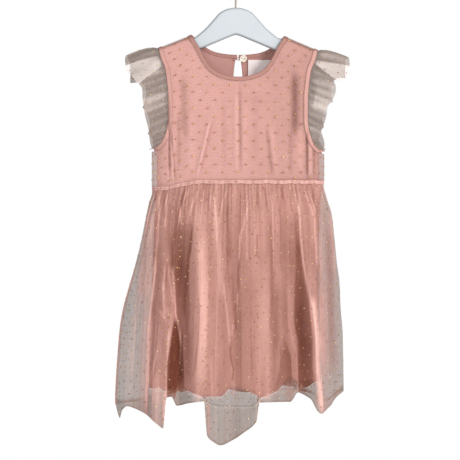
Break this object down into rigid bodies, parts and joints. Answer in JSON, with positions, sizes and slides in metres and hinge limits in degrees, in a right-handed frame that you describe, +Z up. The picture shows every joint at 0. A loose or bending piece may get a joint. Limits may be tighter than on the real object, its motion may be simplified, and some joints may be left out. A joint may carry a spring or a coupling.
{
  "type": "toddler party dress on a clothes hanger",
  "caption": "Sleeveless toddler party dress with gathered flutter ruffles and a dotted tulle skirt over a jersey lining, hung on a child's clothes hanger by its wire hook.",
  "frame": {"origin": "inner top of the hook's bend, where a rail bears on it", "axes": "+Z up along the hook's shank, -Y out of the dress's front, +X towards the dress's left side as worn"},
  "size_m": [0.3531, 0.1253, 0.7174],
  "materials": {
    "jersey": "soft fine knit, matt",
    "tulle": "sheer net with small gold foil dots",
    "trim": "folded jersey binding, matt",
    "button": "pearly, polished",
    "label": "smooth woven ribbon, blank",
    "hanger": "smooth satin white",
    "hook": "satin wire"
  },
  "bodies": {
    "root": {"bodice_lining_front": "jersey", "bodice_lining_back": "jersey", "bodice_tulle_front": "tulle", "bodice_tulle_back": "tulle", "neckband": "trim", "armhole_band_left": "trim", "armhole_band_right": "trim", "keyhole_binding": "trim", "sleeve_ruffle_left": "tulle", "sleeve_ruffle_right": "tulle", "waist_band": "trim", "skirt_lining_front": "jersey", "skirt_lining_back": "jersey", "skirt_tulle_front": "tulle", "skirt_tulle_back": "tulle", "button": "button", "button_loop": "trim", "neck_label": "label", "hanger_body": "hanger", "hanger_hook": "hook"}
  },
  "joints": []
}
